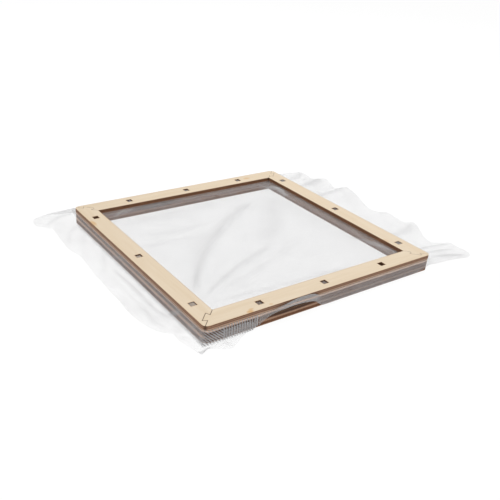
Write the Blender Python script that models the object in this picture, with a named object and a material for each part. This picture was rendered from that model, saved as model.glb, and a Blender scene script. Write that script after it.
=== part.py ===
"""Layered plywood screen printing frame: a clamp ring pressed over pegs holds a sheet of mesh."""

from math import cos, pi, sin, sqrt

import bmesh
import bpy
from mathutils import Matrix, Vector

MM = 0.001

# Driving dimensions. The origin is the middle of the frame, on the surface it rests on.
SIDE = 300 * MM  # outer side of the square frame
RING_RAIL = 22 * MM  # width of the clamp ring's rails
BASE_RAIL = 18 * MM  # width of the lower frame's rails, flush with the ring's on the outside
PLY = 4.4 * MM  # thickness of one plywood layer
GLUE_GAP = 0.2 * MM  # between two glued layers
FIT_GAP = 0.3 * MM  # between two rails at a joint
MESH_THICK = 0.3 * MM  # the cloth, thicker than the real one so that it makes a solid
MESH_GAP = 0.2 * MM  # over and under the clamped mesh
RING_CORNER = 6 * MM  # outer corner radius of the clamp ring
BASE_CORNER = 7 * MM  # outer corner radius of the lower frame
ARC_STEPS = 4

# Puzzle tab on the ring's mitre, measured along the mitre from the frame's outer corner.
# The lower frame's tabs are smaller, as its rails are narrower.
TAB_MIDDLE = 17.0 * MM
TAB_NECK = 10.0 * MM
TAB_HEAD = 13.2 * MM
TAB_HEIGHT = 4.7 * MM

# Square pegs and the holes they stand in, three to a rail
PEG = 6.0 * MM
HOLE = 6.6 * MM
HOLE_INSET = RING_RAIL / 2  # middle of a hole, in from the frame's outer side
PEG_FOOT = 0.2 * MM  # a peg's lower end above the underside
PEG_CHAMFER = 0.4 * MM
SHORT_PITCH = 82 * MM  # front and back rails
LONG_PITCH = 110.5 * MM  # left and right rails
PEG_SUNK = 1.2 * MM  # a peg's top under the ring's face
PEG_SUNK_ALSO = {
    "front_right": 3.6 * MM,
    "left_back": 3.6 * MM,
    "left_front": 0.5 * MM,
    "right_front": 0.5 * MM,
    "right_back": 0.5 * MM,
}

# Heights
BASE_LAYERS = ("base", "middle", "upper")  # from the bottom up
BASE_TOP = len(BASE_LAYERS) * PLY + (len(BASE_LAYERS) - 1) * GLUE_GAP
MESH_BOTTOM = BASE_TOP + MESH_GAP
RING_BOTTOM = MESH_BOTTOM + MESH_THICK + MESH_GAP
RING_TOP = RING_BOTTOM + PLY

# Each side with the names of its three pegs, in the order of the rail's own +X
SIDES = (
    ("front", ("left", "middle", "right"), SHORT_PITCH),
    ("right", ("front", "middle", "back"), LONG_PITCH),
    ("back", ("right", "middle", "left"), SHORT_PITCH),
    ("left", ("back", "middle", "front"), LONG_PITCH),
)

# Where the loose mesh was cut: (way round, x, y). The way round is 0 at the front left corner,
# 1 at the front right, 2 at the back right and 3 at the back left.
CUT_EDGE = (
    (0.00, -158 * MM, -176 * MM),
    (0.05, -134 * MM, -171 * MM),
    (0.13, -108 * MM, -158 * MM),
    (0.18, -95 * MM, -152.6 * MM),
    (0.94, 130 * MM, -152.6 * MM),
    (1.00, 172 * MM, -170 * MM),
    (1.04, 200 * MM, -172 * MM),
    (1.10, 200 * MM, -132 * MM),
    (1.94, 200 * MM, 140 * MM),
    (2.00, 196 * MM, 172 * MM),
    (2.08, 150 * MM, 174 * MM),
    (2.92, -146 * MM, 174 * MM),
    (3.00, -200 * MM, 176 * MM),
    (3.08, -188 * MM, 134 * MM),
    (3.24, -184 * MM, 84 * MM),
    (3.80, -184 * MM, -78 * MM),
    (3.93, -168 * MM, -126 * MM),
    (4.00, -158 * MM, -176 * MM),
)
STATIONS_PER_SIDE = 22
PANEL_EDGE = SIDE / 2 - 0.1 * MM

# Colours
FACE_COLOUR = (0.78, 0.66, 0.47)
PEG_COLOUR = (0.42, 0.29, 0.19)
MESH_COLOUR = (0.86, 0.86, 0.88)


def material(name, colour, roughness):
    made = bpy.data.materials.new(name)
    made.use_nodes = True
    shader = made.node_tree.nodes["Principled BSDF"]
    shader.inputs["Base Color"].default_value = (*colour, 1)
    shader.inputs["Roughness"].default_value = roughness
    shader.inputs["Metallic"].default_value = 0
    return made


def add_object(name, mesh, parent=None, place=None):
    made = bpy.data.objects.new(name, mesh)
    bpy.context.scene.collection.objects.link(made)
    if parent:
        made.parent = parent
    if place:
        made.matrix_basis = place
    return made


def add_empty(name, height):
    empty = add_object(name, None, place=Matrix.Translation((0, 0, height)))
    empty.empty_display_size = SIDE / 10
    return empty


def finish(piece, colour, roughness):
    """Gives the piece its own material, also where its mesh is shared."""
    if not piece.data.materials:
        piece.data.materials.append(None)
    slot = piece.material_slots[0]
    slot.link = "OBJECT"
    slot.material = material(f"{piece.name}_finish", colour, roughness)


def prism(name, outline, thickness):
    """A flat plate from z = 0 up to thickness, with a counter-clockwise outline."""
    shape = bmesh.new()
    face = shape.faces.new([shape.verts.new((x, y, 0)) for x, y in outline])
    raised = bmesh.ops.extrude_face_region(shape, geom=[face])["geom"]
    corners = [item for item in raised if isinstance(item, bmesh.types.BMVert)]
    bmesh.ops.translate(shape, verts=corners, vec=(0, 0, thickness))
    bmesh.ops.recalc_face_normals(shape, faces=shape.faces)
    mesh = bpy.data.meshes.new(name)
    shape.to_mesh(mesh)
    shape.free()
    return mesh


def arc(centre, radius, start, end):
    turns = [start + (end - start) * step / ARC_STEPS for step in range(ARC_STEPS + 1)]
    return [centre + radius * Vector((cos(turn), sin(turn))) for turn in turns]


def turned(points, quarter):
    spin = Matrix.Rotation(quarter * pi / 2, 2)
    return [spin @ point for point in points]


def beside(path, distance):
    """The path moved sideways, to its right for a positive distance."""
    moved = []
    for index, point in enumerate(path):
        before = path[max(index - 1, 0)]
        after = path[min(index + 1, len(path) - 1)]
        into = (point - before) if index else (after - point)
        out = (after - point) if index < len(path) - 1 else into
        into, out = into.normalized(), out.normalized()
        right_in = Vector((into.y, -into.x))
        right_out = Vector((out.y, -out.x))
        middle = (right_in + right_out) / (1 + right_in.dot(right_out))
        moved.append(point + middle * distance)
    return moved


def mitre_path(rail):
    """The joint at the front left corner, from the outer corner in, with the tab on its left."""
    share = rail / RING_RAIL
    along = Vector((1, 1)) / sqrt(2)
    across = Vector((-1, 1)) / sqrt(2)
    outer = Vector((-SIDE / 2, -SIDE / 2))
    steps = (
        (0, 0),
        (TAB_MIDDLE - TAB_NECK / 2, 0),
        (TAB_MIDDLE - TAB_HEAD / 2, TAB_HEIGHT),
        (TAB_MIDDLE + TAB_HEAD / 2, TAB_HEIGHT),
        (TAB_MIDDLE + TAB_NECK / 2, 0),
        (RING_RAIL * sqrt(2), 0),
    )
    return [outer + (along * far + across * off) * share for far, off in steps]


def rail_outline(rail, corner, mirrored):
    """The front rail seen from above, its tab at the left end, or at the right if mirrored."""
    half_gap = FIT_GAP / 2
    left_joint = beside(mitre_path(rail), half_gap)
    right_joint = beside(turned(mitre_path(rail), 1), -half_gap)
    left_centre = Vector((corner - SIDE / 2, corner - SIDE / 2))
    right_centre = Vector((SIDE / 2 - corner, corner - SIDE / 2))
    clear = half_gap / corner  # angle that keeps the corner clear of the mitre
    outline = arc(left_centre, corner, 1.25 * pi + clear, 1.5 * pi)
    outline += arc(right_centre, corner, 1.5 * pi, 1.75 * pi - clear)
    outline += right_joint[1:] + left_joint[:0:-1]
    if mirrored:
        outline = [Vector((-point.x, point.y)) for point in reversed(outline)]
    return outline


def hole_cutter(side, quarter, pitch, parent):
    """Three square bars through all the layers of one side."""
    shape = bmesh.new()
    for place in (-pitch, 0, pitch):
        middle = Matrix.Translation((place, HOLE_INSET - SIDE / 2, RING_TOP / 2))
        size = Matrix.Diagonal((HOLE, HOLE, 2 * RING_TOP, 1))
        bmesh.ops.create_cube(shape, size=1, matrix=middle @ size)
    mesh = bpy.data.meshes.new(f"hole_cutter_{side}")
    shape.to_mesh(mesh)
    shape.free()
    cutter = add_object(mesh.name, mesh, parent, Matrix.Rotation(quarter * pi / 2, 4, "Z"))
    cutter.hide_render = True
    cutter.display_type = "WIRE"
    return cutter


def cut_holes(piece, cutter):
    cut = piece.modifiers.new(cutter.name, "BOOLEAN")
    cut.operation = "DIFFERENCE"
    cut.solver = "EXACT"
    cut.object = cutter


def add_layer(layer, height, outline, parent, cutters):
    """Four equal rails round the frame, each a quarter turn on from the last."""
    mesh = prism(f"{layer}_rail", outline, PLY)
    base_height = parent.matrix_basis.translation.z
    for quarter, (side, _, _) in enumerate(SIDES):
        place = Matrix.Translation((0, 0, height - base_height))
        place = place @ Matrix.Rotation(quarter * pi / 2, 4, "Z")
        rail = add_object(f"{layer}_rail_{side}", mesh, parent, place)
        finish(rail, FACE_COLOUR, 0.6)
        cut_holes(rail, cutters[side])


def add_peg(name, quarter, place, parent):
    """A square peg, its upper end chamfered so that the mesh can bend over it."""
    top = RING_TOP - PEG_SUNK_ALSO.get(name, PEG_SUNK)
    half = PEG / 2
    shape = bmesh.new()
    outline = [(-half, -half), (half, -half), (half, half), (-half, half)]
    face = shape.faces.new([shape.verts.new((x, y, 0)) for x, y in outline])
    raised = bmesh.ops.extrude_face_region(shape, geom=[face])["geom"]
    corners = [item for item in raised if isinstance(item, bmesh.types.BMVert)]
    bmesh.ops.translate(shape, verts=corners, vec=(0, 0, top - PEG_FOOT))
    bmesh.ops.recalc_face_normals(shape, faces=shape.faces)
    rim = [edge for edge in shape.edges if all(end in corners for end in edge.verts)]
    bmesh.ops.bevel(shape, geom=rim, offset=PEG_CHAMFER, segments=1, affect="EDGES")
    mesh = bpy.data.meshes.new(f"peg_{name}")
    shape.to_mesh(mesh)
    shape.free()
    spot = Matrix.Rotation(quarter * pi / 2, 4, "Z")
    spot = spot @ Matrix.Translation((place, HOLE_INSET - SIDE / 2, PEG_FOOT))
    peg = add_object(mesh.name, mesh, parent, spot)
    finish(peg, PEG_COLOUR, 0.7)


def rounded_square(half, radius, start_corner=0):
    """Corner arcs joined by straight sides, counter-clockwise from the front left."""
    points = []
    for quarter in range(start_corner, start_corner + 4):
        centre = Vector((radius - half, radius - half))
        bend = arc(centre, radius, pi, 1.5 * pi)
        points += turned(bend, quarter)
    return points


def add_mesh_panel(parent, cutters):
    """The stretched mesh, from the middle of the window out under the clamp ring."""
    mesh = prism("mesh_panel", rounded_square(PANEL_EDGE, BASE_CORNER), MESH_THICK)
    panel = add_object("mesh_panel", mesh, parent, Matrix.Translation((0, 0, MESH_BOTTOM)))
    for cutter in cutters.values():
        cut_holes(panel, cutter)
    finish(panel, MESH_COLOUR, 0.5)


def cut_edge_at(way):
    """The cut edge's point at a way round the frame."""
    for (start, *first), (end, *second) in zip(CUT_EDGE, CUT_EDGE[1:]):
        if way <= end:
            return Vector(first).lerp(Vector(second), (way - start) / (end - start))
    return Vector(CUT_EDGE[-1][1:])


def wall_station(way):
    """A point on the lower frame's outer wall and the wall's outward direction there."""
    quarter = int(way) % 4
    along = (way - int(way)) * SIDE - SIDE / 2
    reach = SIDE / 2 - BASE_CORNER
    foot = Vector((max(-reach, min(reach, along)), -reach))
    # beyond the straight part the direction swings half of the corner's quarter turn
    over = max(abs(along) - reach, 0) / BASE_CORNER
    swing = over * pi / 4 * (1 if along > 0 else -1)
    outward = Vector((sin(swing), -cos(swing)))
    point, outward = turned([foot + outward * BASE_CORNER, outward], quarter)
    return point, outward


def right_side_share(way):
    """1 where the mesh stands away from the right wall, 0 where it hangs down a wall."""
    return max(0, min(1, (way - 1) / 0.08, (2 - way) / 0.08))


def overhang_section(way):
    """Points of the loose mesh at one way round, from the clamp out to the cut edge."""
    wall, outward = wall_station(way)
    edge = cut_edge_at(way)
    reach = (edge - wall).length
    toward = (edge - wall).normalized()
    share = right_side_share(way)
    level = MESH_BOTTOM + MESH_THICK / 2
    hanging = (
        (0.2 * MM, level),
        (1.0 * MM, level - 0.4 * MM),
        (1.4 * MM, level - 1.4 * MM),
        (1.5 * MM, 4 * MM),
        (min(2.4 * MM, 0.85 * reach), 1.5 * MM),
        (min(5.0 * MM, 0.92 * reach), 0.6 * MM),
        (reach, 0.5 * MM),
    )
    standing = (
        (0.2 * MM, level),
        (1.0 * MM, level),
        (0.12 * reach, level - 0.8 * MM),
        (0.35 * reach, level - 3.5 * MM),
        (0.60 * reach, level - 7.0 * MM),
        (0.80 * reach, level - 9.5 * MM),
        (reach, 3 * MM),
    )
    section = []
    for row, (hung, stood) in enumerate(zip(hanging, standing)):
        far = hung[0] + (stood[0] - hung[0]) * share
        height = hung[1] + (stood[1] - hung[1]) * share
        aim = outward.lerp(toward, min(1, row / 3)).normalized()
        point = wall + aim * far
        section.append((point.x, point.y, height))
    section[-1] = (edge.x, edge.y, section[-1][2])
    return section


def station_ways():
    """Even steps along each side, and closer ones round each corner."""
    reach = BASE_CORNER / SIDE
    ways = []
    for quarter in range(4):
        ways += [quarter + reach * step / ARC_STEPS for step in range(ARC_STEPS)]
        straight = 1 - 2 * reach
        for step in range(STATIONS_PER_SIDE):
            ways.append(quarter + reach + straight * step / STATIONS_PER_SIDE)
        ways += [quarter + 1 - reach + reach * step / ARC_STEPS for step in range(ARC_STEPS)]
    return ways


def add_mesh_overhang(parent):
    """The loose mesh outside the clamp: down the walls and out over the table."""
    shape = bmesh.new()
    sections = []
    for way in station_ways():
        sections.append([shape.verts.new(point) for point in overhang_section(way)])
    for section, following in zip(sections, sections[1:] + sections[:1]):
        for row in range(len(section) - 1):
            corners = (section[row], section[row + 1], following[row + 1], following[row])
            shape.faces.new(corners)
    bmesh.ops.recalc_face_normals(shape, faces=shape.faces)
    mesh = bpy.data.meshes.new("mesh_overhang")
    shape.to_mesh(mesh)
    shape.free()
    overhang = add_object("mesh_overhang", mesh, parent)
    shell = overhang.modifiers.new("cloth_thickness", "SOLIDIFY")
    shell.thickness = MESH_THICK
    shell.offset = 0
    finish(overhang, MESH_COLOUR, 0.5)


def main():
    for old in list(bpy.data.objects):
        bpy.data.objects.remove(old)
    lower_frame = add_empty("lower_frame", 0)
    clamp_ring = add_empty("clamp_ring", RING_BOTTOM)
    cutters = {}
    for quarter, (side, _, pitch) in enumerate(SIDES):
        cutters[side] = hole_cutter(side, quarter, pitch, lower_frame)
    for number, layer in enumerate(BASE_LAYERS):
        height = number * (PLY + GLUE_GAP)
        outline = rail_outline(BASE_RAIL, BASE_CORNER, number % 2 == 0)
        add_layer(layer, height, outline, lower_frame, cutters)
    add_layer("ring", RING_BOTTOM, rail_outline(RING_RAIL, RING_CORNER, False), clamp_ring, cutters)
    for quarter, (side, names, pitch) in enumerate(SIDES):
        for name, place in zip(names, (-pitch, 0, pitch)):
            add_peg(f"{side}_{name}", quarter, place, lower_frame)
    add_mesh_panel(lower_frame, cutters)
    add_mesh_overhang(lower_frame)


main()
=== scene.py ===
"""Looks of a plywood screen printing frame: laser-burnt plywood, square pegs and a loose sheer mesh."""

from bisect import bisect_right
from math import ceil, cos, pi, radians, sin, sqrt, tan

import bmesh
import bpy
import numpy as np
from mathutils import Matrix, Vector, noise


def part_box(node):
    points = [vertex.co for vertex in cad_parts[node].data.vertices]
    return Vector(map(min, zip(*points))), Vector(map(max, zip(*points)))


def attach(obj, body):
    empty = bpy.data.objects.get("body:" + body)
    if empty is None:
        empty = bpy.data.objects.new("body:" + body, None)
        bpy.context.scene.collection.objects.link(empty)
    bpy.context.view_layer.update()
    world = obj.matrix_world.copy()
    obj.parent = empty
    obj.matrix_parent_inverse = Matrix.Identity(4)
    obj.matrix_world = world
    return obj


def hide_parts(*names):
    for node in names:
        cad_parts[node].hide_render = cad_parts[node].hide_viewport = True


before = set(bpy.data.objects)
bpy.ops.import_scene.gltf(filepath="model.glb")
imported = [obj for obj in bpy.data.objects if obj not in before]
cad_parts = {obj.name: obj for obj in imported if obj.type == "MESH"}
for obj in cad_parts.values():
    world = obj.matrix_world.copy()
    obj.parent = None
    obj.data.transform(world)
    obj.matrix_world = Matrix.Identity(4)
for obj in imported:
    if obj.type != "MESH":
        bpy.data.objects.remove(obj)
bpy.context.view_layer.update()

MM = 0.001

HALF = -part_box("ring_rail_front")[0].y  # half the frame's side
WINDOW = -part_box("ring_rail_front")[1].y  # half the clamp ring's window
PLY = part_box("ring_rail_front")[1].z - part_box("ring_rail_front")[0].z
PLY_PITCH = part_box("middle_rail_front")[0].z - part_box("base_rail_front")[0].z
CLAMP = (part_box("mesh_panel")[0].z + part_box("mesh_panel")[1].z) / 2 / MM  # the clamped mesh, in mm

# Camera
CAMERA_PLACE = Vector((-0.41817, -0.56265, 0.34620))
CAMERA_AIM = Vector((-0.00375, -0.01470, 0))
CAMERA_ROLL = radians(4.20)
CAMERA_LENS = 47.62

# Light and floor
WORLD_STRENGTH = 0.50  # the light that the surroundings give
BACKDROP_STRENGTH = 1.0  # how bright they look behind the floor
FLOOR_COLOUR = (0.11, 0.11, 0.11)
FLOOR_GLOW = 0.93
FLOOR_SIZE = 40

# Cloth grid
CELL = 1.8 * MM  # spacing of the grid inside the clamp
CORNER_CELLS = 8  # from the start of a rounded corner to its middle
ROWS = 30  # from the clamp out to the cut edge
WALL_CORNER = 7 * MM  # outer corner radius of the lower frame
WEAVE_PITCH = 0.6 * MM

# Millimetres between the stripes that doubled mesh shows
STRIPE_PITCH = 2.9
SLANT_PITCH = 3.2

# The ring's puzzle joint in millimetres: way in from the outer corner, and off the mitre
JOINT_PATH = ((0, 0), (12.0, 0), (10.4, 4.7), (23.6, 4.7), (22.0, 0), (31.1, 0))


# ---------------------------------------------------------------- shader arithmetic


class Number:
    """A number in a shader: arithmetic on it adds Math nodes to its node tree."""

    def __init__(self, tree, socket):
        self.tree = tree
        self.socket = socket

    def math(self, operation, *others):
        node = self.tree.nodes.new("ShaderNodeMath")
        node.operation = operation
        for slot, value in zip(node.inputs, (self, *others)):
            if isinstance(value, Number):
                self.tree.links.new(value.socket, slot)
            else:
                slot.default_value = value
        return Number(self.tree, node.outputs[0])

    def __add__(self, other):
        return self.math("ADD", other)

    def __sub__(self, other):
        return self.math("SUBTRACT", other)

    def __mul__(self, other):
        return self.math("MULTIPLY", other)

    def __abs__(self):
        return self.math("ABSOLUTE")

    def at_least(self, other):
        return self.math("MAXIMUM", other)

    def at_most(self, other):
        return self.math("MINIMUM", other)

    def step(self, low, high, before=0.0, after=1.0):
        """Turns smoothly from one value to another as this number goes from low to high."""
        node = self.tree.nodes.new("ShaderNodeMapRange")
        node.interpolation_type = "SMOOTHSTEP"
        for name, value in (("Value", self), ("From Min", low), ("From Max", high),
                            ("To Min", before), ("To Max", after)):
            if isinstance(value, Number):
                self.tree.links.new(value.socket, node.inputs[name])
            else:
                node.inputs[name].default_value = value
        return Number(self.tree, node.outputs["Result"])


def vector(*numbers):
    tree = numbers[0].tree
    node = tree.nodes.new("ShaderNodeCombineXYZ")
    for slot, value in zip(node.inputs, numbers):
        tree.links.new(value.socket, slot)
    return node.outputs[0]


def parts_of(tree, socket):
    node = tree.nodes.new("ShaderNodeSeparateXYZ")
    tree.links.new(socket, node.inputs[0])
    return [Number(tree, output) for output in node.outputs]


def noise_of(point, scale, detail=3.0, roughness=0.5, distortion=0.0):
    """Noise from 0 to 1 at a point given by three numbers."""
    tree = point[0].tree
    node = tree.nodes.new("ShaderNodeTexNoise")
    tree.links.new(vector(*point), node.inputs["Vector"])
    node.inputs["Scale"].default_value = scale
    node.inputs["Detail"].default_value = detail
    node.inputs["Roughness"].default_value = roughness
    node.inputs["Distortion"].default_value = distortion
    return Number(tree, node.outputs["Fac"])


def blended(factor, first, second):
    """A colour between two, each a linear colour or a socket."""
    tree = factor.tree
    node = tree.nodes.new("ShaderNodeMix")
    node.data_type = "RGBA"
    tree.links.new(factor.socket, node.inputs["Factor"])
    for slot, value in ((node.inputs[6], first), (node.inputs[7], second)):
        if isinstance(value, tuple):
            slot.default_value = (*value, 1)
        else:
            tree.links.new(value, slot)
    return node.outputs[2]


def new_material(name):
    made = bpy.data.materials.new(name)
    made.use_nodes = True
    return made, made.node_tree, made.node_tree.nodes["Principled BSDF"]


def add_bump(tree, shader, height, strength, distance):
    node = tree.nodes.new("ShaderNodeBump")
    node.inputs["Strength"].default_value = strength
    node.inputs["Distance"].default_value = distance
    tree.links.new(height.socket, node.inputs["Height"])
    tree.links.new(node.outputs[0], shader.inputs["Normal"])


# ---------------------------------------------------------------- plywood


def object_point(tree):
    """Where a point is on the part at rest, in millimetres."""
    coordinates = tree.nodes.new("ShaderNodeTexCoord")
    return [part * (1 / MM) for part in parts_of(tree, coordinates.outputs["Object"])]


def is_side(tree):
    """1 on the cut edges of the plywood, 0 on its faces."""
    geometry = tree.nodes.new("ShaderNodeNewGeometry")
    upright = parts_of(tree, geometry.outputs["Normal"])[2]
    return abs(upright).step(0.3, 0.7, 1, 0)


def edge_distance(x, y):
    """Millimetres from the nearest laser cut of a rail, seen from above."""
    far = abs(x).at_least(abs(y))
    nearest = (far * -1 + HALF / MM).at_most(far - WINDOW / MM)
    for peg in ("peg_back_middle", "peg_back_left", "peg_right_middle", "peg_right_back"):
        low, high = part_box(peg)
        middle = (low + high) / 2 / MM
        hole = 3.3
        off = abs(abs(x) - abs(middle.x)).at_least(abs(abs(y) - abs(middle.y)))
        nearest = nearest.at_most(off - hole)
    return nearest


def segment_distance(far, off, start, end):
    """Distance from a point (far, off) to a straight line between two spots."""
    (start_far, start_off), (end_far, end_off) = start, end
    long_far, long_off = end_far - start_far, end_off - start_off
    squared = long_far**2 + long_off**2
    way = (far - start_far) * (long_far / squared) + (off - start_off) * (long_off / squared)
    way = way.at_least(0).at_most(1)
    gap_far = far - start_far - way * long_far
    gap_off = off - start_off - way * long_off
    return (gap_far * gap_far + gap_off * gap_off).math("SQRT")


def joint_distance(x, y):
    """Millimetres from the puzzle joint at the nearest corner of the ring."""
    far = (abs(x) + abs(y)) * -sqrt(0.5) + HALF / MM * sqrt(2)
    off = (abs(x) - abs(y)) * sqrt(0.5) * (x * y).math("SIGN")
    nearest = None
    for start, end in zip(JOINT_PATH, JOINT_PATH[1:]):
        away = segment_distance(far, off, start, end)
        nearest = away if nearest is None else nearest.at_most(away)
    return nearest


def burnt_edge(x, y, z, bottom, pale_lines, arch_shadow):
    """Colour of a laser-cut edge and its upright marks: dark core plies, char, pale lines and, where it
    is given, a painted shadow.
    """
    height = (z - bottom / MM).math("MODULO", PLY_PITCH / MM) * (MM / PLY)
    wobble = noise_of((x * 0.05, y * 0.05, z * 0.4), 1.0, 3) * 0.10
    core = (height + wobble).step(0.30, 0.38) * (height + wobble).step(0.70, 0.78, 1, 0)
    marks = noise_of((x * 2.6, y * 2.6, z * 0.12), 1.0, 3, 0.6)
    patches = noise_of((x * 0.06, y * 0.06, z * 0.25), 1.0, 4, 0.6)
    colour = blended(marks.step(0.3, 0.7), (0.105, 0.041, 0.016), (0.22, 0.094, 0.041))
    colour = blended(core * 0.35, colour, (0.075, 0.028, 0.012))
    colour = blended(patches.step(0.45, 0.75) * 0.35, colour, (0.36, 0.17, 0.085))
    drift = (patches - 0.5) * 1.6
    outer = abs(x).at_least(abs(y)).step(134, 146, 0.25, 1.0) * (x + y).step(-10, 30, 1.0, 0.5)
    for middle, half, share in pale_lines:
        line = abs(z + drift - middle).step(half * 0.3, half, share, 0.0)
        colour = blended(line * outer, colour, (0.98, 0.69, 0.52))
    # painted shadow: the edge is darkened in an oval where the mesh arch stands over it
    if arch_shadow:
        off_x = (x - arch_shadow[0]) * (1 / arch_shadow[2])
        off_z = (z - arch_shadow[1]) * (1 / arch_shadow[3])
        dark = (off_x * off_x + off_z * off_z).step(0.3, 1.0, 0.75, 0.0)
        colour = blended(dark, colour, (0.040, 0.020, 0.012))
    return colour, marks


def plywood(name, along_x, bottom, pale_lines, face, face_dark, stains=(), joints=False, arch_shadow=()):
    """Pale veneer with fine grain along the rail, and laser-burnt edges that show the plies."""
    made, tree, shader = new_material(name)
    x, y, z = object_point(tree)
    along, across = (x, y) if along_x else (y, x)

    figure = noise_of((along * 0.012, across * 0.16, z * 0.02), 1.0, 4, 0.6, 0.6)
    streaks = noise_of((along * 0.03, across * 1.3, z * 0.1), 1.0, 5, 0.65, 0.2)
    pores = noise_of((along * 0.25, across * 5.0, z * 0.3), 1.0, 2, 0.5)
    grain = (figure * 0.55 + streaks * 0.45).step(0.35, 0.68)
    veneer = blended(grain, face_dark, face)
    flecks = pores.step(0.66, 0.80) * 0.30
    veneer = blended(flecks, veneer, (0.40, 0.26, 0.15))
    for spot_x, spot_y, long, wide, share in stains:
        off_x = (x - spot_x) * (1 / long)
        off_y = (y - spot_y) * (1 / wide)
        spot = (off_x * off_x + off_y * off_y).step(0.0, 1.0, share, 0.0)
        veneer = blended(spot, veneer, (0.72, 0.40, 0.13))
    scorch = edge_distance(x, y)
    halo = scorch.step(0.0, 1.2, 0.50, 0.0)
    veneer = blended(halo, veneer, (0.50, 0.29, 0.14))
    if joints:
        near = joint_distance(x, y).step(0.15, 0.75, 0.60, 0.0)
        sharp = (x + y).step(-240, -180, 1.0, 0.15)
        veneer = blended(near * sharp, veneer, (0.17, 0.085, 0.04))

    char, marks = burnt_edge(x, y, z, bottom, pale_lines, arch_shadow)
    if joints:
        char = blended(joint_distance(x, y).step(0.5, 3.0, 0.7, 0.0), char, (0.06, 0.025, 0.012))
    side = is_side(tree)
    tree.links.new(blended(side, veneer, char), shader.inputs["Base Color"])
    rough = streaks.step(0.3, 0.7, 0.50, 0.62).at_least(side * 0.78)
    tree.links.new(rough.socket, shader.inputs["Roughness"])
    shader.inputs["Specular IOR Level"].default_value = 0.3
    relief = (pores * 0.5 + streaks * 0.5) * (side * -1 + 1) + marks * side
    add_bump(tree, shader, relief, 0.35, 0.15 * MM)
    return made


def peg_wood(name, top_dark, top_pale):
    """Charred sides and a duller top."""
    made, tree, shader = new_material(name)
    x, y, z = object_point(tree)
    fibres = noise_of((x * 1.5, y * 1.5, z * 0.1), 1.0, 4, 0.6)
    burnt = blended(fibres.step(0.3, 0.7), (0.10, 0.048, 0.026), (0.22, 0.11, 0.055))
    plies = noise_of((x * 0.9, y * 3.0, z * 0.5), 1.0, 3)
    top = blended(plies.step(0.35, 0.65), top_dark, top_pale)
    tree.links.new(blended(is_side(tree), top, burnt), shader.inputs["Base Color"])
    shader.inputs["Roughness"].default_value = 0.75
    add_bump(tree, shader, fibres, 0.4, 0.15 * MM)
    return made


def finish_wood():
    base_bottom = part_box("base_rail_front")[0].z
    ring_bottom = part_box("ring_rail_front")[0].z
    face, face_dark = (0.885, 0.745, 0.565), (0.82, 0.665, 0.475)
    # x, y, length along x, length along y and strength of each resin stain
    stains = ((-99, -148, 5, 3, 0.75), (-96, -145, 4, 2, 0.5), (-74, -147, 3, 2, 0.4),
              (-148, 97, 4, 9, 0.55), (97.5, 139.5, 7, 4, 0.45), (130, -100, 3, 7, 0.35))
    # middle, half width and strength of each pale line on the cut edges
    ring_lines = ((13.9, 2.2, 0.50), (17.0, 1.3, 0.16))
    front_lines = ((12.9, 2.3, 1.0), (4.8, 1.5, 0.26), (0.0, 0.9, 0.3))
    left_lines = ((13.4, 2.4, 0.95), (6.4, 2.3, 0.80), (0.0, 0.9, 0.4))
    # x, height, half length and half height of the painted shadow on the front's edge, under the mesh
    # arch
    arch_shadow = (-50, 9.0, 42, 4.2)
    for along_x, sides in ((True, ("front", "back")), (False, ("left", "right"))):
        way = "x" if along_x else "y"
        ring = plywood(f"ring_plywood_{way}", along_x, ring_bottom, ring_lines, face, face_dark,
                       stains, True)
        lines = front_lines if along_x else left_lines
        base = plywood(f"base_plywood_{way}", along_x, base_bottom, lines, face, face_dark,
                       arch_shadow=arch_shadow if along_x else ())
        for side in sides:
            for layer in ("base", "middle", "upper", "ring"):
                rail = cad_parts[f"{layer}_rail_{side}"]
                set_finish(rail, ring if layer == "ring" else base)
    burnt = peg_wood("peg_wood", (0.11, 0.063, 0.038), (0.24, 0.145, 0.088))
    clean = peg_wood("peg_wood_clean", (0.34, 0.25, 0.18), (0.74, 0.60, 0.46))
    for name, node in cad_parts.items():
        if name.startswith("peg_"):
            set_finish(node, clean if name in ("peg_left_front", "peg_left_middle") else burnt)


def set_finish(node, material):
    for slot in node.material_slots:
        slot.material = material


# ---------------------------------------------------------------- mesh cloth: material


def doubled_weave(tree):
    """Coarse stripes where two layers of mesh lie on each other at the front left."""
    attribute = tree.nodes.new("ShaderNodeAttribute")
    attribute.attribute_name = "doubled"
    doubled = Number(tree, attribute.outputs["Fac"])
    x, y, z = object_point(tree)
    upright = (x * (2 * pi / STRIPE_PITCH)).math("SINE")
    slanted = ((x + z * 1.1) * (2 * pi / SLANT_PITCH)).math("SINE")
    beside = x.step(-131, -128)
    seams = abs(x + 129.5).step(0.3, 1.2, 0.45, 0.0) + abs(x + 93).step(0.4, 1.4, 0.5, 0.0)
    stripes = upright * beside + slanted * (beside * -1 + 1)
    return doubled * (stripes * 0.62 + 0.05 + seams)


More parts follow.
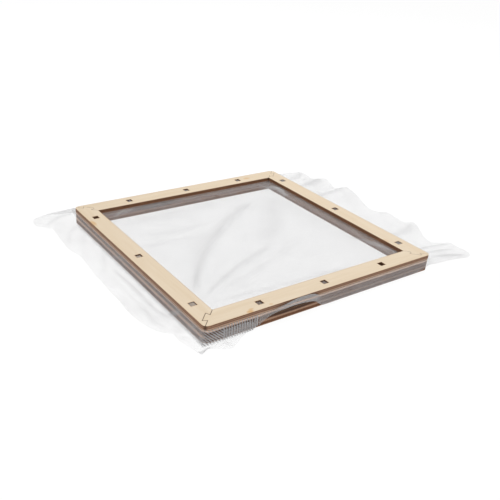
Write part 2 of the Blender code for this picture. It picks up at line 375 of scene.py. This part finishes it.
def mesh_cloth():
    """Sheer plain weave: round pale threads with open squares between them."""
    made, tree, shader = new_material("mesh_cloth")
    flat = tree.nodes.new("ShaderNodeUVMap")
    flat.uv_map = "flat"
    u, v, _ = [part * (MM / WEAVE_PITCH) for part in parts_of(tree, flat.outputs[0])]
    attribute = tree.nodes.new("ShaderNodeAttribute")
    attribute.attribute_name = "gather"
    density = Number(tree, attribute.outputs["Fac"]) + doubled_weave(tree)
    slack = noise_of((u * 0.02, v * 0.02, v * 0.0), 1.0, 3) * 0.10
    opening = (density * -0.42 + 0.93) - slack
    across = abs(u.math("FRACT") - 0.5) * 2
    along = abs(v.math("FRACT") - 0.5) * 2
    soft = 0.12
    warp = across.step(opening - soft, opening + soft)
    weft = along.step(opening - soft, opening + soft)
    cover = warp.at_least(weft)
    tree.links.new(cover.socket, shader.inputs["Alpha"])

    # painted shade of the weave: threads passing over and their crossings lighter, threads passing under
    # darker
    over = (u.math("FLOOR") + v.math("FLOOR")).math("PINGPONG", 1.0)
    shade = (over * 0.5 + warp * weft * 0.5).step(0, 1)
    colour = blended(shade, (0.45, 0.446, 0.455), (0.54, 0.536, 0.54))
    tree.links.new(colour, shader.inputs["Base Color"])
    shader.inputs["Roughness"].default_value = 0.45
    shader.inputs["Specular IOR Level"].default_value = 0.15
    shader.inputs["Sheen Weight"].default_value = 0.06
    shader.inputs["Sheen Roughness"].default_value = 0.4
    add_bump(tree, shader, (across + along) * 0.5, 0.3, 0.08 * MM)
    return made


# ---------------------------------------------------------------- mesh cloth: inside the clamp


def peg_places():
    """Each peg's middle and the height of its top."""
    places = []
    for name in sorted(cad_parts):
        if name.startswith("peg_"):
            low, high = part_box(name)
            places.append(((low.x + high.x) / 2, (low.y + high.y) / 2, high.z))
    return places


CAP_HALF = 3.15 * MM  # half the width of the mesh drawn over a peg


def grid_lines(axis):
    """Positions across the sheet: round each peg, close at the corners, even between."""
    stops = {place[axis] + off for place in peg_places() for off in (-CAP_HALF, CAP_HALF)}
    corner = HALF - WALL_CORNER
    turns = [pi / 4 * step / CORNER_CELLS for step in range(CORNER_CELLS + 1)]
    for turn in turns:
        reach = corner + WALL_CORNER * tan(turn)
        stops |= {reach, -reach}
    stops |= {WINDOW, -WINDOW}
    stops = sorted(stops)
    lines = [stops[0]]
    for start, end in zip(stops, stops[1:]):
        if end - start < 1e-6:
            continue
        steps = max(1, ceil((end - start) / CELL))
        lines += [start + (end - start) * step / steps for step in range(1, steps + 1)]
    return lines


def ridge(points, spots, start_wide, end_wide):
    """How close each point is to a line through the spots: 1 on it, fading to 0 sideways."""
    best = np.zeros(len(points))
    spots = [np.array(spot) for spot in spots]
    lengths = [np.linalg.norm(b - a) for a, b in zip(spots, spots[1:])]
    total = sum(lengths)
    passed = 0.0
    for start, end, length in zip(spots, spots[1:], lengths):
        way = np.clip((points - start) @ (end - start) / length**2, 0, 1)
        nearest = start + way[:, None] * (end - start)
        share = (passed + way * length) / total
        wide = start_wide + (end_wide - start_wide) * share
        away = np.linalg.norm(points - nearest, axis=1) / wide
        taper = np.minimum(1, np.minimum(share, 1 - share) / 0.15 + 0.15)
        best = np.maximum(best, np.exp(-away * away) * taper)
        passed += length
    return best


# Folds of the stretched mesh, in millimetres: spots, width at each end, height, extra density; the extra
# density is partly gathered cloth and partly painted shade along the fold
WINDOW_FOLDS = (
    (((-123, -90), (-105, -63), (-76, -29), (-45, 3), (-9, 32), (25, 55), (69, 78)), 3.2, 9.0, 2.2, 0.26),
    (((-118, -84), (-92, -38), (-62, 2), (-38, 22)), 3.0, 9, 1.0, 0.12),
    (((-121, -101), (-99, -87), (-57, -65), (-25, -52), (11, -36)), 2.2, 5.5, 1.8, 0.25),
    (((-112, -100), (-50, -82), (6, -60), (48, -40)), 2.6, 7, 1.0, 0.10),
    (((-118, -112), (-80, -114), (-21, -118), (58, -122)), 2.4, 4.0, 1.0, 0.16),
    (((-109, 51), (-73, 41), (-22, 45)), 4, 6, 0.9, 0.13),
    (((-122, 24), (-95, 22), (-50, 20)), 3, 6, 0.8, 0.12),
    (((-121, 84), (-82, 84), (-41, 74)), 4, 6, 0.8, 0.12),
    (((-105, 92), (-29, 88), (20, 92)), 4, 8, 1.0, 0.13),
    (((98, 78), (68, 35), (36, 0), (5, -30)), 15, 10, 0.8, 0.16),
    (((96, 60), (95, 37), (95, -22), (95, -88)), 9, 7, 0.5, 0.07),
    (((114, 69), (126, 106)), 3.2, 5.0, 0.8, 0.65),
    (((106, 112), (124, 93)), 4.5, 4.5, 0.6, 0.45),
    (((118, 112), (126, 84)), 2.2, 2.2, 0.6, 0.40),
    (((104, -62), (121, -91), (126, -109)), 1.8, 2.2, 0.8, 0.60),
    (((112, -84), (125, -113), (126, -123)), 1.6, 2.0, 0.6, 0.60),
    (((-116, 110), (-104, 120), (-92, 126)), 3.0, 2.6, 0.8, 0.45),
    (((-104, 112), (-84, 126)), 2.2, 2.2, 0.5, 0.30),
)


def window_relief(points):
    """Height above the clamp and extra density of the mesh inside the ring."""
    height = np.zeros(len(points))
    near_back = np.clip((points.max(axis=1) - WINDOW + 20 * MM) / (10 * MM), 0, 1)
    density = 0.09 + 0.26 * near_back
    for spots, start_wide, end_wide, tall, thick in WINDOW_FOLDS:
        close = ridge(points / MM, spots, start_wide, end_wide)
        height += tall * MM * close
        # the density along a fold darkens the cloth there: partly gathered threads, partly painted shade
        density += thick * close
    for index, (x, y) in enumerate(points / MM):
        slow = noise.noise(Vector((x * 0.012, y * 0.012, 3.0)))
        fine = noise.noise(Vector((x * 0.035, y * 0.020, 7.0)))
        height[index] += (slow * 0.9 + fine * 0.35) * MM
    inside = np.clip((WINDOW - np.abs(points).max(axis=1)) / (9 * MM), 0, 1)
    inside = inside * inside * (3 - 2 * inside)
    return height * inside, density


# ---------------------------------------------------------------- mesh cloth: outside the clamp

WALL_OFFSETS = (0.0, 0.75, 1.0, 1.0, 1.0, 1.7)
WALL_HEIGHTS = (CLAMP, CLAMP - 0.2, CLAMP - 1.1, 8.5, 3.6, 0.9)
FOOT = 2.6  # where the mesh meets the table, out from the wall


def wall_points(base, outward, offsets, heights):
    """Points at offsets from the wall and heights, in millimetres."""
    return [(*(base + outward * off * MM), high * MM) for off, high in zip(offsets, heights)]


def hang(x, y, lift=0.4):
    """Down the wall and out over the table to a cut edge at (x, y)."""
    return fold(x, y, 0, 0, lift)


def fold(x, y, top, back=1.0, lift=0.8):
    """Down the wall, out over the table to (x, y), folded back and up the wall to a cut edge."""

    def section(base, outward):
        points = wall_points(base, outward, WALL_OFFSETS, WALL_HEIGHTS)
        foot = base + outward * FOOT * MM
        edge = Vector((x, y)) * MM
        for share, high in ((0.08, 0.5), (0.35, 0.45), (0.7, 0.45), (1.0, lift)):
            points.append((*foot.lerp(edge, share), high * MM))
        end = Vector(points[-1])
        turned = [Vector((*foot.lerp(edge, 0.5), 1.4 * MM))]
        turned += [Vector(spot) for spot in wall_points(
            base, outward, (2.9, 2.4, 2.1), (2.0, 0.55 * top, top))]
        points += [tuple(end.lerp(spot, back)) for spot in turned]
        return points

    return section


def cut(end, close=1.0):
    """Down the wall and trimmed at a height."""

    def section(base, outward):
        start = CLAMP - 0.8
        drop = [start + (end - start) * min(1, share / 4) for share in range(12)]
        offsets = (0.0, 0.75) + (close,) * 12
        return wall_points(base, outward, offsets, (CLAMP, CLAMP - 0.2, *drop))

    return section


def arch(crest, end, out=2.6):
    """Out of the clamp, up in front of the ring's edge and over to a free edge."""

    def section(base, outward):
        rise, fall = crest - CLAMP, crest - end
        up = ((0, 0), (0.28, 0.1), (0.55, 0.4), (0.75, 0.75), (0.9, 0.95), (1.0, 1.0))
        down = ((1.12, 0.02), (1.25, 0.08), (1.35, 0.2), (1.38, 0.35), (1.33, 0.5),
                (1.2, 0.7), (1.0, 0.87), (0.8, 1.0))
        offsets = [out * off for off, _ in up + down]
        heights = [CLAMP + rise * share for _, share in up]
        heights += [crest - fall * share for _, share in down]
        return wall_points(base, outward, offsets, heights)

    return section


def stand(x, y, lift, sag=1.5):
    """Away from the wall in the air, sinking towards a cut edge at (x, y)."""

    def section(base, outward):
        edge = Vector((x, y)) * MM
        points = []
        for step in range(14):
            share = (step / 13) ** 1.3
            bow = base + outward * share * (edge - base).length
            spot = bow.lerp(base.lerp(edge, share), min(1, share * 2.5))
            high = lift + (CLAMP - lift) * (1 - share) ** sag
            points.append((*spot, high * MM))
        return points

    return section


def tent(x, y, peak, lift):
    """Springing up behind the ring's corner, then straight to a cut edge at (x, y)."""

    def section(base, outward):
        heights = (CLAMP, CLAMP - 0.1, (CLAMP + peak) / 2)
        points = wall_points(base, outward, (0, 1.5, 2.4), heights)
        crest = base + outward * 3.6 * MM
        edge = Vector((x, y)) * MM
        for step in range(11):
            share = step / 10
            points.append((*crest.lerp(edge, share), (peak + (lift - peak) * share) * MM))
        return points

    return section


# Sections of the loose mesh by the way round: 0 is the front left corner, 1 the front right,
# 2 the back right and 3 the back left
SECTIONS = (
    (0.000, fold(-160, -165, 9.2)),
    (0.008, fold(-154, -159, 9.4)),
    (0.020, fold(-148, -158, 9.8)),
    (0.040, fold(-139, -166, 10.4)),
    (0.064, fold(-131, -168, 11.0)),
    (0.100, fold(-118, -161, 11.2)),
    (0.137, fold(-107, -154, 11.5)),
    (0.165, fold(-99, -152.8, 10.8)),
    (0.182, fold(-94, -152.4, 9.0)),
    (0.193, cut(0.6, 1.4)),
    (0.217, cut(6.0, 1.4)),
    (0.232, cut(8.2, 1.4)),
    (0.265, arch(15.0, 10.6, 1.4)),
    (0.300, arch(16.6, 11.2, 1.6)),
    (0.325, arch(18.6, 11.9, 2.0)),
    (0.345, arch(19.9, 12.5, 2.4)),
    (0.383, arch(20.2, 11.7, 2.5)),
    (0.410, arch(19.4, 10.4, 2.2)),
    (0.427, arch(18.0, 9.2, 1.9)),
    (0.443, arch(15.9, 6.2, 1.5)),
    (0.460, cut(0.6, 1.3)),
    (0.520, cut(0.5, 1.6)),
    (0.540, cut(0.5, 0.9)),
    (0.925, cut(0.5, 1.0)),
    (0.965, cut(2.6, 1.2)),
    (0.990, cut(5.6, 1.4)),
    (0.997, stand(160, -152, 6.5)),
    (1.001, stand(180, -156, 6.5)),
    (1.006, stand(197, -160, 6.0)),
    (1.012, stand(211, -162, 6.0)),
    (1.020, stand(216, -156, 7.0)),
    (1.034, stand(216, -146, 9.0)),
    (1.050, stand(215, -138, 7.5)),
    (1.066, stand(215, -131, 9.0)),
    (1.084, stand(214, -124, 8.0)),
    (1.115, stand(212, -113, 3.0)),
    (1.155, stand(209, -102, 1.0)),
    (1.190, stand(211, -91, 1.0)),
    (1.222, stand(215, -81, 3.5)),
    (1.250, stand(216, -71, 9.5)),
    (1.280, stand(216, -63, 10.0)),
    (1.315, stand(214, -53, 5.0)),
    (1.365, stand(215, -40, 5.5)),
    (1.410, stand(215, -26, 7.0)),
    (1.460, stand(214, -12, 4.0)),
    (1.505, stand(213, 1, 2.0)),
    (1.545, stand(212, 13, 3.0)),
    (1.595, stand(215, 28, 6.5)),
    (1.640, stand(215, 42, 10.0)),
    (1.685, stand(215, 56, 13.6)),
    (1.712, stand(214, 64, 12.5)),
    (1.740, stand(215, 72, 7.0)),
    (1.775, stand(214, 82, 4.5)),
    (1.812, stand(214, 94, 9.0)),
    (1.840, stand(213, 102, 13.0)),
    (1.885, stand(214, 115, 9.0)),
    (1.930, stand(212, 129, 3.0)),
    (1.960, stand(211, 140, 3.5)),
    (1.980, stand(210, 149, 6.5)),
    (1.994, stand(207, 160, 5.0)),
    (2.002, stand(198, 167, 3.0)),
    (2.012, stand(186, 170, 1.0)),
    (2.030, stand(168, 173, 0.8)),
    (2.080, stand(140, 176, 0.6)),
    (2.200, hang(92, 180)),
    (2.350, hang(44, 176)),
    (2.500, hang(-2, 181)),
    (2.700, hang(-62, 177)),
    (2.850, hang(-108, 182)),
    (2.930, hang(-138, 179)),
    (2.970, stand(-160, 180, 0.8)),
    (2.985, tent(-176, 182, 15.0, 1.0)),
    (2.996, tent(-191, 177, 18.0, 3.0)),
    (3.004, tent(-195, 170, 16.5, 2.5)),
    (3.010, stand(-196, 164, 2.0, 1.1)),
    (3.018, stand(-197, 158, 1.2, 1.3)),
    (3.028, stand(-195, 151, 1.6)),
    (3.038, stand(-189, 148, 2.0)),
    (3.050, hang(-187, 141, 0.8)),
    (3.062, hang(-183, 140, 2.0)),
    (3.080, hang(-182, 130, 0.8)),
    (3.165, hang(-184, 105)),
    (3.235, hang(-185, 84)),
    (3.270, hang(-183, 73)),
    (3.300, hang(-180, 64)),
    (3.385, hang(-181, 38)),
    (3.460, hang(-183, 14)),
    (3.500, hang(-183, 3)),
    (3.670, hang(-184, -48)),
    (3.735, hang(-185, -68)),
    (3.795, hang(-183, -86)),
    (3.845, hang(-180, -101)),
    (3.885, hang(-174, -115)),
    (3.908, hang(-165, -121)),
    (3.925, fold(-168, -127, 1.0, 0.2)),
    (3.950, fold(-168, -136, 3.0, 0.6)),
    (3.975, fold(-164, -149, 6.0, 0.9)),
    (3.990, fold(-162, -161, 8.2)),
    (4.000, fold(-160, -165, 9.2)),
)


def wall_station(x, y):
    """The way round, and the wall's outward direction, for a point on the sheet's grid edge."""
    reach = HALF - 1e-6
    if y <= -reach and x < reach:
        way = (x + HALF) / (2 * HALF)
    elif x >= reach and y < reach:
        way = 1 + (y + HALF) / (2 * HALF)
    elif y >= reach and x > -reach:
        way = 2 + (HALF - x) / (2 * HALF)
    else:
        way = 3 + (HALF - y) / (2 * HALF)
    corner = HALF - WALL_CORNER
    over = Vector((max(abs(x) - corner, 0), max(abs(y) - corner, 0)))
    outward = Vector((over.x * (1 if x > 0 else -1), over.y * (1 if y > 0 else -1)))
    return way, outward.normalized()


def rounded(x, y):
    """Moves the sheet's square corners onto the lower frame's rounded ones."""
    corner = HALF - WALL_CORNER
    over = Vector((abs(x) - corner, abs(y) - corner))
    if over.x <= 0 or over.y <= 0:
        return x, y
    over *= max(over) / over.length
    return (corner + over.x) * (1 if x > 0 else -1), (corner + over.y) * (1 if y > 0 else -1)


def smooth_curve(points, steps=8):
    """A Catmull-Rom curve through the points."""
    points = np.array(points)
    ends = np.vstack([2 * points[0] - points[1], points, 2 * points[-1] - points[-2]])
    curve = []
    for before, start, end, after in zip(ends, ends[1:], ends[2:], ends[3:]):
        for step in range(steps):
            t = step / steps
            curve.append(0.5 * (2 * start + (end - before) * t
                                + (2 * before - 5 * start + 4 * end - after) * t**2
                                + (3 * start - before - 3 * end + after) * t**3))
    curve.append(points[-1])
    return np.array(curve)


def section_at(way, base, outward):
    """The loose mesh's section at a way round, from the clamp out to the cut edge."""
    ways = [key for key, _ in SECTIONS]
    index = min(bisect_right(ways, way), len(ways) - 1)
    (start, first), (end, second) = SECTIONS[index - 1], SECTIONS[index]
    share = (way - start) / (end - start)
    points = (1 - share) * np.array(first(base, outward))
    points = points + share * np.array(second(base, outward))
    curve = smooth_curve(points)
    lengths = np.concatenate([[0], np.cumsum(np.linalg.norm(np.diff(curve, axis=0), axis=1))])
    shares = (np.arange(ROWS) / (ROWS - 1)) ** 1.25
    spots = shares * lengths[-1]
    even = np.stack([np.interp(spots, lengths, curve[:, axis]) for axis in range(3)], axis=1)
    return even, spots


def loose_mesh(stations):
    """Points, flat positions, extra density and doubling of the loose mesh, station by station."""
    sections, flats = [], []
    for way, base, outward in stations:
        points, spots = section_at(way, base, outward)
        sections.append(points)
        aim = Vector(points[-1][:2]) - base
        aim = aim.normalized() if aim.length > 8 * MM else outward
        flats.append(np.array(base)[None, :] + np.array(aim)[None, :] * spots[:, None])
    points = np.array(sections)
    clamp = points[:, 0].copy()
    for _ in range(3):
        around = (np.roll(points, 1, axis=0) + np.roll(points, -1, axis=0)) / 2
        points = points * 0.5 + around * 0.5
        points[:, 0] = clamp
    points, density = add_ripples(points)
    thicker, doubled = wall_cover(points, np.array([way for way, _, _ in stations]))
    return points, np.array(flats), density + thicker, doubled


# Creases of the loose mesh on the table, in millimetres: spots, width at each end, height, density; the
# density is partly gathered cloth and partly painted shade in the crease
LOOSE_CREASES = (
    (((-162, 18), (-160, -26), (-161, -78), (-152, -108)), 2.0, 1.6, 1.6, 0.34),
    (((-170, 2), (-170, -40), (-172, -84)), 2.4, 2.0, 0.8, 0.12),
    (((-156, 132), (-170, 118), (-178, 96)), 2.6, 2.0, 1.0, 0.18),
    (((-152, 146), (-172, 152), (-188, 148)), 2.0, 2.4, 1.2, 0.24),
    (((-152, 151), (-174, 164), (-192, 170)), 1.6, 2.0, 1.0, 0.22),
    (((-155, 112), (-166, 84), (-176, 58)), 3.0, 2.6, 0.9, 0.10),
    (((-154, 58), (-164, 34), (-176, 10)), 2.6, 2.2, 0.9, 0.12),
    (((-168, -70), (-173, -92), (-166, -112)), 2.2, 2.0, 0.8, 0.20),
    (((-165, -160), (-156, -160), (-147, -157)), 1.6, 1.6, 1.0, 0.50),
    (((-134, -156), (-128, -162)), 2.0, 2.2, 0.8, 0.15),
    (((153, -146), (180, -150), (208, -156)), 1.8, 2.4, 0.8, 0.42),
    (((153, -138), (178, -138), (206, -140)), 2.0, 2.6, 0.8, 0.40),
    (((153, -128), (180, -124), (208, -126)), 2.2, 2.6, 0.8, 0.45),
    (((153, -84), (182, -78), (210, -70)), 3.6, 5.0, 0.7, 0.32),
    (((153, 52), (184, 56), (210, 60)), 3.6, 5.2, 0.7, 0.34),
    (((153, 92), (184, 98), (208, 104)), 3.6, 5.2, 0.7, 0.36),
    (((153, 118), (180, 132), (206, 150)), 3.0, 4.2, 0.7, 0.36),
)


def add_ripples(points):
    """Small folds that grow away from the clamp, and the extra density of the cloth along them."""
    stations, rows, _ = points.shape
    share = (np.arange(rows) / (rows - 1))[None, :]
    grow = np.clip((share - 0.25) / 0.75, 0, 1)
    ripple = np.zeros((stations, rows))
    for station in range(stations):
        for row in range(rows):
            x, y, z = points[station, row] / MM
            slow = noise.noise(Vector((x * 0.045, y * 0.045, 1.7)))
            fine = noise.noise(Vector((x * 0.13, y * 0.13, 4.1)))
            ripple[station, row] = 1.6 * slow + 0.6 * fine
    flat = points.reshape(-1, 3)
    out = np.abs(flat[:, :2]).max(axis=1) - HALF
    free = np.clip((out / MM - 3) / 10, 0, 1).reshape(stations, rows)
    lift = ripple * grow * free * 1.2
    density = np.clip(ripple, 0, 2) * free * 0.12
    for spots, start_wide, end_wide, tall, thick in LOOSE_CREASES:
        close = ridge(flat[:, :2] / MM, spots, start_wide, end_wide).reshape(stations, rows)
        lift += close * tall * free
        # the density along a crease darkens the cloth there: partly gathered threads, partly painted
        # shade
        density += close * thick * np.clip(free * 4, 0, 1)
    points = points.copy()
    points[:, :, 2] = np.maximum(points[:, :, 2] + lift * MM, 0.3 * MM)
    return points, density


# Pale folds up the left wall in millimetres: spots by y and height, width, extra density
WALL_STREAKS = (
    (((-90, 0.5), (-99, 6), (-108, 12)), 2.0, 0.55),
    (((-121, 1), (-136, 11)), 1.7, 0.35),
    (((41, 2), (12, 12)), 1.5, 0.32),
)


def wall_cover(points, ways):
    """Extra density where the mesh turns down the wall, and where two layers of it lie there."""
    out = (np.abs(points[:, :, :2]).max(axis=2) - HALF) / MM
    height = points[:, :, 2] / MM
    wall = np.clip((3.6 - out) / 1.2, 0, 1)
    turn = np.exp(-(((height - 13.2) / 0.9) ** 2))
    foot = np.clip((4 - height) / 4, 0, 1)
    left = np.clip((ways - 3.0) * 40, 0, 1)[:, None]
    arched = np.clip(np.minimum((ways - 0.25) / 0.06, (0.46 - ways) / 0.03), 0, 1)[:, None]
    density = wall * (0.24 + 0.06 * left + 0.06 * turn + 0.15 * foot + 0.35 * arched)
    lobe = (np.clip((ways - 3.90) * 40, 0, 1) + (ways < 0.25))[:, None]
    # off the wall the cloth is made more open: a little everywhere, and more on the left flap and the
    # front left lobe as painted light, which brightens them where the table under them lies in shade
    density -= (0.02 + 0.08 * left + 0.22 * lobe) * (1 - wall)
    on_left = np.stack([points[:, :, 1].ravel() / MM, height.ravel()], axis=1)
    for spots, wide, thick in WALL_STREAKS:
        close = ridge(on_left, spots, wide, wide).reshape(height.shape)
        density += thick * close * wall * left
    doubled = wall * np.where((ways < 0.20) | (ways > 3.995), 1.0, 0.0)[:, None]
    return density, doubled


# ---------------------------------------------------------------- mesh cloth: the sheet


def build_sheet():
    """One sheet of mesh: stretched in the clamp, drawn over the pegs and loose outside."""
    xs, ys = grid_lines(0), grid_lines(1)
    spots = np.array([rounded(x, y) for y in ys for x in xs])
    relief, density = window_relief(spots)
    shape = bmesh.new()
    flat_layer = shape.verts.layers.float_vector.new("flat_place")
    density_layer = shape.verts.layers.float.new("gather")
    doubled_layer = shape.verts.layers.float.new("doubled")
    verts = []
    for (x, y), up, thick in zip(spots, relief, density):
        vert = shape.verts.new((x, y, CLAMP * MM + up))
        vert[flat_layer] = (x, y, 0)
        vert[density_layer] = thick
        verts.append(vert)
    wide = len(xs)
    for j in range(len(ys) - 1):
        for i in range(wide - 1):
            corner = j * wide + i
            ring = (corner, corner + 1, corner + wide + 1, corner + wide)
            shape.faces.new([verts[k] for k in ring])

    tall = len(ys)
    loop = [i for i in range(wide - 1)]
    loop += [j * wide + wide - 1 for j in range(tall - 1)]
    loop += [(tall - 1) * wide + i for i in range(wide - 1, 0, -1)]
    loop += [j * wide for j in range(tall - 1, 0, -1)]
    stations = []
    for index in loop:
        x, y = xs[index % wide], ys[index // wide]
        way, outward = wall_station(x, y)
        stations.append((way, Vector(spots[index]), outward))
    points, flats, thicker, doubled = loose_mesh(stations)
    columns = []
    for station, index in enumerate(loop):
        column = [verts[index]]
        for row in range(1, ROWS):
            vert = shape.verts.new(points[station, row])
            vert[flat_layer] = (*flats[station, row], 0)
            vert[density_layer] = thicker[station, row]
            vert[doubled_layer] = doubled[station, row]
            column.append(vert)
        columns.append(column)
    for column, following in zip(columns, columns[1:] + columns[:1]):
        for row in range(ROWS - 1):
            shape.faces.new((column[row], column[row + 1], following[row + 1], following[row]))

    for x, y, top in peg_places():
        block = [face for face in shape.faces
                 if abs(face.calc_center_median().x - x) < CAP_HALF
                 and abs(face.calc_center_median().y - y) < CAP_HALF]
        bmesh.ops.inset_region(shape, faces=block, thickness=0.03 * MM, use_even_offset=True)
        for vert in {vert for face in block for vert in face.verts}:
            vert.co.z = top + 0.15 * MM
    bmesh.ops.recalc_face_normals(shape, faces=shape.faces)
    mesh = bpy.data.meshes.new("mesh_cloth")
    shape.to_mesh(mesh)
    shape.free()
    return mesh


def add_sheet():
    mesh = build_sheet()
    flat = np.zeros(len(mesh.vertices) * 3)
    mesh.attributes["flat_place"].data.foreach_get("vector", flat)
    flat = flat.reshape(-1, 3)[:, :2] / MM
    corners = np.zeros(len(mesh.loops), dtype=int)
    mesh.loops.foreach_get("vertex_index", corners)
    layer = mesh.uv_layers.new(name="flat")
    layer.data.foreach_set("uv", flat[corners].ravel())
    mesh.attributes.remove(mesh.attributes["flat_place"])
    mesh.shade_smooth()
    mesh.materials.append(mesh_cloth())
    sheet = bpy.data.objects.new("mesh_cloth", mesh)
    bpy.context.scene.collection.objects.link(sheet)
    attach(sheet, "lower_frame")
    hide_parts("mesh_panel", "mesh_overhang")
    return sheet


# ---------------------------------------------------------------- floor, light and camera


def add_floor():
    made, tree, shader = new_material("floor_finish")
    x, y, z = object_point(tree)
    tone = noise_of((x * 0.01, y * 0.01, z), 1.0, 3)
    paler = tuple(min(1, part * 1.02) for part in FLOOR_COLOUR)
    tree.links.new(blended(tone, FLOOR_COLOUR, paler), shader.inputs["Base Color"])
    shader.inputs["Roughness"].default_value = 0.9
    shader.inputs["Specular IOR Level"].default_value = 0.0
    shader.inputs["Emission Color"].default_value = (1, 1, 1, 1)
    shader.inputs["Emission Strength"].default_value = FLOOR_GLOW
    mesh = bpy.data.meshes.new("floor")
    half = FLOOR_SIZE / 2
    under = -0.1 * MM
    corners = [(-half, -half, under), (half, -half, under), (half, half, under), (-half, half, under)]
    mesh.from_pydata(corners, [], [(0, 1, 2, 3)])
    mesh.materials.append(made)
    floor = bpy.data.objects.new("floor", mesh)
    bpy.context.scene.collection.objects.link(floor)


def add_lights():
    world = bpy.data.worlds.new("studio")
    bpy.context.scene.world = world
    world.use_nodes = True
    sky = world.node_tree.nodes["Background"]
    sky.inputs["Color"].default_value = (1, 1, 1, 1)
    path = world.node_tree.nodes.new("ShaderNodeLightPath")
    seen = Number(world.node_tree, path.outputs["Is Camera Ray"])
    strength = seen * (BACKDROP_STRENGTH - WORLD_STRENGTH) + WORLD_STRENGTH
    world.node_tree.links.new(strength.socket, sky.inputs["Strength"])
    for name, place, size, power in (
        ("key", (0.9, 0.5, 1.6), 1.4, 17),
        ("fill", (-1.2, -0.9, 1.3), 1.6, 7),
    ):
        lamp = bpy.data.lights.new(name, "AREA")
        lamp.shape = "SQUARE"
        lamp.size = size
        lamp.energy = power
        light = bpy.data.objects.new(name, lamp)
        light.location = place
        light.rotation_mode = "QUATERNION"
        light.rotation_quaternion = (-Vector(place)).to_track_quat("-Z", "Y")
        bpy.context.scene.collection.objects.link(light)
    view = bpy.context.scene.view_settings
    view.view_transform = "Standard"
    view.look = "None"


def add_camera():
    data = bpy.data.cameras.new("camera")
    data.lens = CAMERA_LENS
    data.sensor_width = 36
    camera = bpy.data.objects.new("camera", data)
    forward = (CAMERA_AIM - CAMERA_PLACE).normalized()
    level = forward.cross(Vector((0, 0, 1))).normalized()
    upright = level.cross(forward)
    right = cos(CAMERA_ROLL) * level + sin(CAMERA_ROLL) * upright
    up = right.cross(forward)
    turn = Matrix((right, up, -forward)).transposed().to_4x4()
    camera.matrix_world = Matrix.Translation(CAMERA_PLACE) @ turn
    bpy.context.scene.collection.objects.link(camera)
    bpy.context.scene.camera = camera


add_camera()
add_floor()
add_lights()
finish_wood()
add_sheet()
